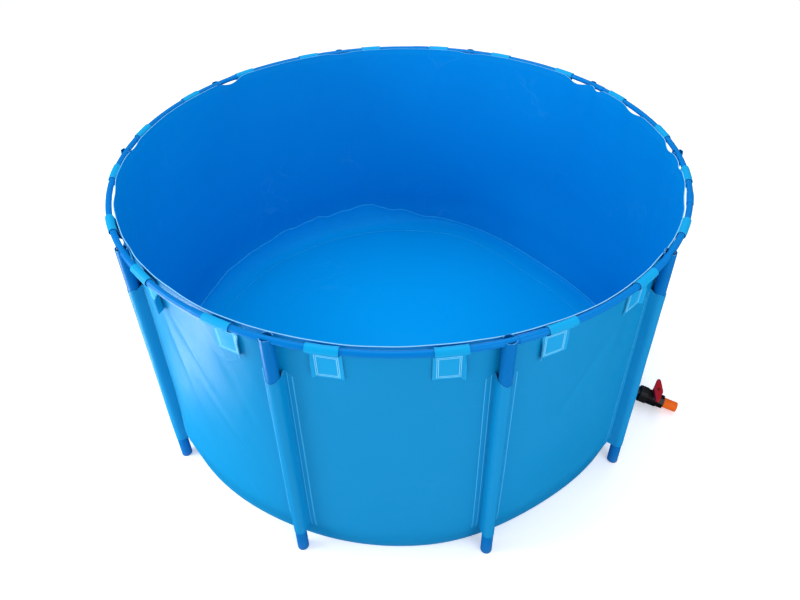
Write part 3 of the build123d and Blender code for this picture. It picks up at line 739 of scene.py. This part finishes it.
def floor_seam_band():
    """The floor's edge, curved up from the ground and welded to the wall, with a wavy upper edge."""
    def place(share, up):
        angle = 2 * math.pi * share
        corner = floor_radius(angle)
        height = seam_height(angle)
        start_r = corner - SEAM_IN
        start = Vector((start_r * math.cos(angle), start_r * math.sin(angle), 0.0))
        start.z = floor_height(start.x, start.y) + LAYER
        bend = Vector((corner * 0.997 * math.cos(angle), corner * 0.997 * math.sin(angle), 0.003))
        end = wall_place(angle, height, SEAM_OUT)
        lap = wall_place(angle, height + 0.012, SEAM_OUT)
        if up > SEAM_LAP:
            return end.lerp(lap, (up - SEAM_LAP) / (1 - SEAM_LAP))
        share_up = up / SEAM_LAP
        low, high = start.lerp(bend, share_up), bend.lerp(end, share_up)
        point = low.lerp(high, share_up)
        tuck = 0.0022 * noise.noise(Vector((26 * math.cos(angle), 26 * math.sin(angle), 2 * share_up)))
        inward = Vector((math.cos(angle), math.sin(angle), -0.6))
        return point - inward * abs(tuck) * bump(share_up, 0.6, 0.5)
    mesh = cloth_grid(600, 24, 2 * math.pi * FOOT_R, SEAM_W, place, closed=True)
    bmesh.ops.reverse_faces(mesh, faces=mesh.faces[:])
    materials = [seam_cloth, outside_cloth, cut_edge]
    piece = with_thickness(piece_from(mesh, "floor_seam_cloth", materials), STRIP_T)
    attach(piece, "tank")
    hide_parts("floor_seam_band")
    return piece


POCKET_R = LEG_R + 0.0012     # inner radius of the cloth round a leg
POCKET_FLANGE = 0.028
POCKET_OUT = 0.0004           # from that radius, or from the wall's face, out to the pocket's cloth


def pole_pocket(number, leg_angle):
    """A pocket: flange, side, half round, side and flange, open at both ends, with a scooped top."""
    side = RING_R - WALL_R
    wrap = math.pi * POCKET_R / 2
    half = wrap + side + POCKET_FLANGE
    lean = chance.uniform(-1, 1)

    def place(share, up):
        across = (share - 0.5) * 2 * half
        away = abs(across)
        sign = 1 if across > 0 else -1
        flange = max(away - wrap - side, 0.0)
        peak = 0.012 * bump(away, wrap + side, 0.020) - 0.006 * smooth(flange, 0.016, 0.028)
        scoop = 0.009 * bump(away, 0, wrap)
        height = POCKET_Z0 + (POCKET_Z1 + peak - scoop - POCKET_Z0) * up
        slack = 0.0011 * noise.noise(Vector((number * 3.7 + 4 * share, 6 * height, lean)))
        wall_at = leg_angle + sign * (POCKET_R + flange) / RING_R
        wall = wall_place(wall_at, height, CLOTH_T + POCKET_OUT)
        if flange > 0:
            return wall
        if away <= wrap:
            turn = across / POCKET_R
            radius = POCKET_R + slack + POCKET_OUT
            x, y = RING_R + radius * math.cos(turn), radius * math.sin(turn)
        else:
            down = (away - wrap) / side
            x = RING_R + (wall.xy.length - RING_R) * down
            y = sign * (POCKET_R + slack * (1 - down) + POCKET_OUT)
        c, s = math.cos(leg_angle), math.sin(leg_angle)
        return Vector((x * c - y * s, x * s + y * c, wall.z if away > wrap else height))
    mesh = cloth_grid(64, 60, 2 * half, POCKET_Z1 - POCKET_Z0, place)
    for _ in range(2):
        inner = [v for v in mesh.verts if not v.is_boundary]
        bmesh.ops.smooth_vert(mesh, verts=inner, factor=0.4, use_axis_x=True, use_axis_y=True)
    materials = [pocket_cloth, pocket_cloth, cut_edge]
    piece = with_thickness(piece_from(mesh, f"pole_pocket_cloth_{number}", materials))
    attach(piece, "tank")
    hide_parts(f"pole_pocket_{number}")
    return piece, (2 * half, POCKET_Z1 - POCKET_Z0)


ARCS = sum(name.startswith("ring_arc_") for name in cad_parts)
ARC = 2 * math.pi / ARCS
FIRST_JOINT = -1.5 * BAY + math.asin(LEG_R / RING_R) + math.radians(0.2)
TUBE_R = SOCKET_R - 0.0015
TUBE_T = 0.0012
BORE_R = TUBE_R + 0.0003      # inside of the socket
SWAGE_END = 0.087             # from a joint to where the tube has its plain size
TUBE_INSERT = 0.050           # length of the tube's end inside the next socket
SOCKET_PROFILE = (            # distance along the tube from its joint, and radius there
    (0.0120, BORE_R), (0.0004, BORE_R), (0.0, BORE_R + 0.0003), (0.0, SOCKET_R - 0.0005),
    (0.0002, SOCKET_R - 0.0002), (0.0007, SOCKET_R), (0.0200, SOCKET_R), (0.0400, SOCKET_R),
    (0.0560, SOCKET_R), (0.0610, SOCKET_R - 0.0001), (0.0660, SOCKET_R - 0.0004),
    (0.0720, SOCKET_R - 0.0008), (0.0780, SOCKET_R - 0.0012), (0.0830, SOCKET_R - 0.0014),
    (SWAGE_END, TUBE_R),
)


def ring_tube(number):
    """One tube of the ring, its swaged socket open where the tube before goes in."""
    start = FIRST_JOINT + ARC * (number - 1)
    last = ARC * RING_R + TUBE_INSERT
    stations = list(SOCKET_PROFILE)
    stations += [(SWAGE_END + (last - SWAGE_END) * step / 48, TUBE_R) for step in range(1, 49)]
    stations += [(last, TUBE_R - TUBE_T), (last - 0.010, TUBE_R - TUBE_T)]
    mesh = bmesh.new()
    upright = Matrix.Translation((RING_R, 0, RING_Z)) @ Matrix.Rotation(math.pi / 2, 4, "X")
    turned = Matrix.Rotation(start + stations[0][0] / RING_R, 4, "Z")
    bmesh.ops.create_circle(mesh, segments=36, radius=stations[0][1], matrix=turned @ upright)
    rim = mesh.edges[:]
    for (at, radius), (next_at, next_radius) in zip(stations, stations[1:]):
        made = bmesh.ops.extrude_edge_only(mesh, edges=rim)["geom"]
        verts = [part for part in made if isinstance(part, bmesh.types.BMVert)]
        fresh = set(verts)
        edges = [part for part in made if isinstance(part, bmesh.types.BMEdge)]
        rim = [edge for edge in edges if fresh.issuperset(edge.verts)]
        angle = start + at / RING_R
        centre = Vector((RING_R * math.cos(angle), RING_R * math.sin(angle), RING_Z))
        grow = next_radius / radius
        onward = Matrix.Rotation((next_at - at) / RING_R, 3, "Z")
        bmesh.ops.scale(mesh, verts=verts, vec=(grow, grow, grow), space=Matrix.Translation(-centre))
        bmesh.ops.rotate(mesh, verts=verts, cent=(0, 0, 0), matrix=onward)
    bmesh.ops.recalc_face_normals(mesh, faces=mesh.faces[:])
    piece = piece_from(mesh, f"ring_tube_{number}", [ring_paint], sharp=50)
    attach(piece, "tank")
    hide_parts(f"ring_arc_{number}")
    return piece


LOOP_R = SOCKET_R + 0.0009    # inner radius of a loop round the ring
APEX_Z = 0.945                # where a loop's two layers come together
LIFTED_TABS = {15: 0.024}     # tabs whose far edge stands off the wall, and how far


def loop_path(middle):
    """A loop's cloth in the radial plane: up the inner layer, round the ring and down the outer layer."""
    apex_x = wall_place(middle, APEX_Z).xy.length + 0.0018
    reach = math.hypot(apex_x - RING_R, APEX_Z - RING_Z)
    towards = math.atan2(APEX_Z - RING_Z, apex_x - RING_R)
    spread = math.acos(LOOP_R / reach)
    path = []
    for step in range(7):
        share = step / 6
        height = TAB_Z0 + (APEX_Z - TAB_Z0) * share
        path.append((wall_place(middle, height).xy.length + 0.0011, height))
    first, last = towards - spread, towards + spread - 2 * math.pi
    for step in range(33):
        turn = first + (last - first) * step / 32
        path.append((RING_R + LOOP_R * math.cos(turn), RING_Z + LOOP_R * math.sin(turn)))
    for step in range(8):
        share = 1 - step / 7
        height = TAB_Z0 - 0.001 + (APEX_Z + 0.002 - TAB_Z0) * share
        path.append((wall_place(middle, height).xy.length + 0.0027, height))
    return path


def hanging_strap(number, middle):
    """A loop over the ring with its two-layer tab welded to the wall, its free edges curling off it."""
    path = loop_path(middle)
    lengths = [0.0]
    for (x0, z0), (x1, z1) in zip(path, path[1:]):
        lengths.append(lengths[-1] + math.hypot(x1 - x0, z1 - z0))
    total = lengths[-1]
    skew, lean = chance.uniform(-0.004, 0.004), chance.uniform(-0.002, 0.002)
    curls = [chance.uniform(0.0005, 0.0020), chance.uniform(0.007, 0.012)]
    if number in LIFTED_TABS:
        curls[1] = LIFTED_TABS[number]
    elif number % 2:
        curls.reverse()

    def place(share, along):
        x, z = path[round(along * (len(path) - 1))]
        low = 1 - smooth(z, TAB_Z0, RING_Z - 0.02)
        across = (share - 0.5) * STRAP_W
        edge = smooth(abs(share - 0.5), 0.36, 0.5)
        curl = edge * curls[int(share > 0.5)] * smooth(low, 0.1, 0.5)
        lift = 0.0012 * noise.noise(Vector((number + 3 * share, 5 * along, 0.0))) * smooth(z, 0.95, 0.975)
        angle = middle + (across + skew * low) / RING_R
        local = wall_place(angle, min(z, RIM_Z)).xy.length - wall_place(middle, min(z, RIM_Z)).xy.length
        x += curl + abs(lift) + (local if z < APEX_Z else 0.0)
        return Vector((x * math.cos(angle), x * math.sin(angle), z + lean * (share - 0.5) * low))
    mesh = cloth_grid(18, len(path) - 1, STRAP_W, total, place)
    layer = mesh.loops.layers.uv.active
    for face in mesh.faces:
        for loop in face.loops:
            across, along = loop[layer].uv
            step = round(along / total * (len(path) - 1))
            loop[layer].uv = (across, min(lengths[step], total - lengths[step]))
    materials = [strap_cloth, strap_cloth, cut_edge]
    piece = with_thickness(piece_from(mesh, f"hanging_strap_{number}", materials))
    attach(piece, "tank")
    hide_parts("hanging_straps")
    return piece, (STRAP_W, total)


PATCH_HOLE = 0.36             # share of the patch's radius that is open


def drain_patch():
    """The round patch that strengthens the wall at the drain."""
    radius = (PATCH_BOX[1].y - PATCH_BOX[0].y) / 2

    def place(share, out):
        turn = 2 * math.pi * share
        reach = radius * (PATCH_HOLE + (1 - PATCH_HOLE) * out)
        return wall_place(reach * math.cos(turn) / DRAIN_X, DRAIN_Z + reach * math.sin(turn), 0.0011)
    mesh = cloth_grid(72, 10, 1.0, 1.0, place, closed=True)
    layer = mesh.loops.layers.uv.active
    for face in mesh.faces:
        for loop in face.loops:
            loop[layer].uv = (loop.vert.co.y, loop.vert.co.z - DRAIN_Z)
    bmesh.ops.recalc_face_normals(mesh, faces=mesh.faces[:])
    if sum(face.normal.x for face in mesh.faces) < 0:
        bmesh.ops.reverse_faces(mesh, faces=mesh.faces[:])
    piece = with_thickness(piece_from(mesh, "drain_patch_cloth", [patch_cloth, patch_cloth, cut_edge]))
    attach(piece, "tank")
    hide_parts("drain_patch")
    return piece, radius


for number in range(ARCS):
    ring_tube(number + 1)
wall = liner_wall()
hem = top_hem()
floor = liner_floor()
seam = floor_seam_band()
patch, patch_r = drain_patch()
pockets = [pole_pocket(k + 1, angle) for k, angle in enumerate(LEG_ANGLES)]
straps = []
for bay in range(BAYS):
    for side in (-1, 1):
        middle = BAY * bay + side * STRAP_OFFSET
        straps.append((*hanging_strap(len(straps) + 1, middle), middle))


# ---------------------------------------------------------------- studio
def studio_floor():
    """A wide white floor just under the tank, that the tank doesn't mirror."""
    mesh = bmesh.new()
    bmesh.ops.create_grid(mesh, x_segments=1, y_segments=1, size=14)
    bmesh.ops.translate(mesh, verts=mesh.verts[:], vec=(0, 0, -0.001))
    white, _, principled = new_material("studio_white", Roughness=0.9, Emission_Strength=0.3)
    principled.inputs["Base Color"].default_value = srgb(246, 246, 248)
    principled.inputs["Emission Color"].default_value = (1.0, 1.0, 1.0, 1.0)
    ground = piece_from(mesh, "studio_floor", [white])
    ground.visible_glossy = False


def soft_light(name, place, target, size, power):
    """A square soft box turned to a point, not seen by the camera itself."""
    light = bpy.data.lights.new(name, "AREA")
    light.size = size
    light.energy = power
    lamp = bpy.data.objects.new(name, light)
    lamp.location = place
    lamp.visible_camera = False
    lamp.rotation_euler = (Vector(target) - Vector(place)).to_track_quat("-Z", "Y").to_euler()
    bpy.context.scene.collection.objects.link(lamp)


def inner_fill():
    """A large weak lamp in the tank, for the light that the white room throws in."""
    light = bpy.data.lights.new("inner_fill", "POINT")
    light.energy = 8
    light.shadow_soft_size = 0.5
    lamp = bpy.data.objects.new("inner_fill", light)
    lamp.location = (0.0, 0.1, 0.55)
    lamp.visible_camera = False
    bpy.context.scene.collection.objects.link(lamp)


def white_room():
    """The room's even light, which the cloth and paint don't mirror."""
    world = bpy.data.worlds.new("studio")
    world.use_nodes = True
    background = world.node_tree.nodes["Background"]
    background.inputs["Color"].default_value = (0.95, 0.97, 1.0, 1.0)
    background.inputs["Strength"].default_value = 0.75
    bpy.context.scene.world = world
    world.cycles_visibility.glossy = False


CAMERA_PLACE = (0.7545, -2.0507, 2.224)
CAMERA_HEADING = (-0.3453, 0.9385, 0.0)
CAMERA_PITCH = math.radians(37.04)
CAMERA_ROLL = math.radians(-0.97)


def camera():
    """The camera: a little above standing height, looking down into the tank."""
    forward = Vector(CAMERA_HEADING).normalized()
    right = Vector((forward.y, -forward.x, 0.0))
    look = forward * math.cos(CAMERA_PITCH) - Vector((0, 0, math.sin(CAMERA_PITCH)))
    up = right.cross(look)
    across = right * math.cos(CAMERA_ROLL) + up * math.sin(CAMERA_ROLL)
    upward = up * math.cos(CAMERA_ROLL) - right * math.sin(CAMERA_ROLL)
    data = bpy.data.cameras.new("camera")
    data.lens = 30.9
    data.sensor_width = 36.0
    data.shift_y = -0.0726
    data.clip_end = 100.0
    made = bpy.data.objects.new("camera", data)
    turn = Matrix((across, upward, -look)).transposed().to_4x4()
    made.matrix_world = Matrix.Translation(CAMERA_PLACE) @ turn
    bpy.context.scene.collection.objects.link(made)
    bpy.context.scene.camera = made


studio_floor()
camera()
soft_light("top_box", (0.0, 0.3, 4.2), (0, 0, 0), 3.6, 74)
soft_light("left_box", (-3.4, -2.2, 2.2), (0, 0, 0.6), 2.4, 108)
soft_light("right_box", (3.2, -2.2, 2.2), (0, 0, 0.4), 2.4, 45)
soft_light("left_card", (-1.35, -1.45, 0.04), (-0.4, -0.9, 0.7), 0.9, 22)
inner_fill()
white_room()
bpy.context.scene.view_settings.view_transform = "Standard"
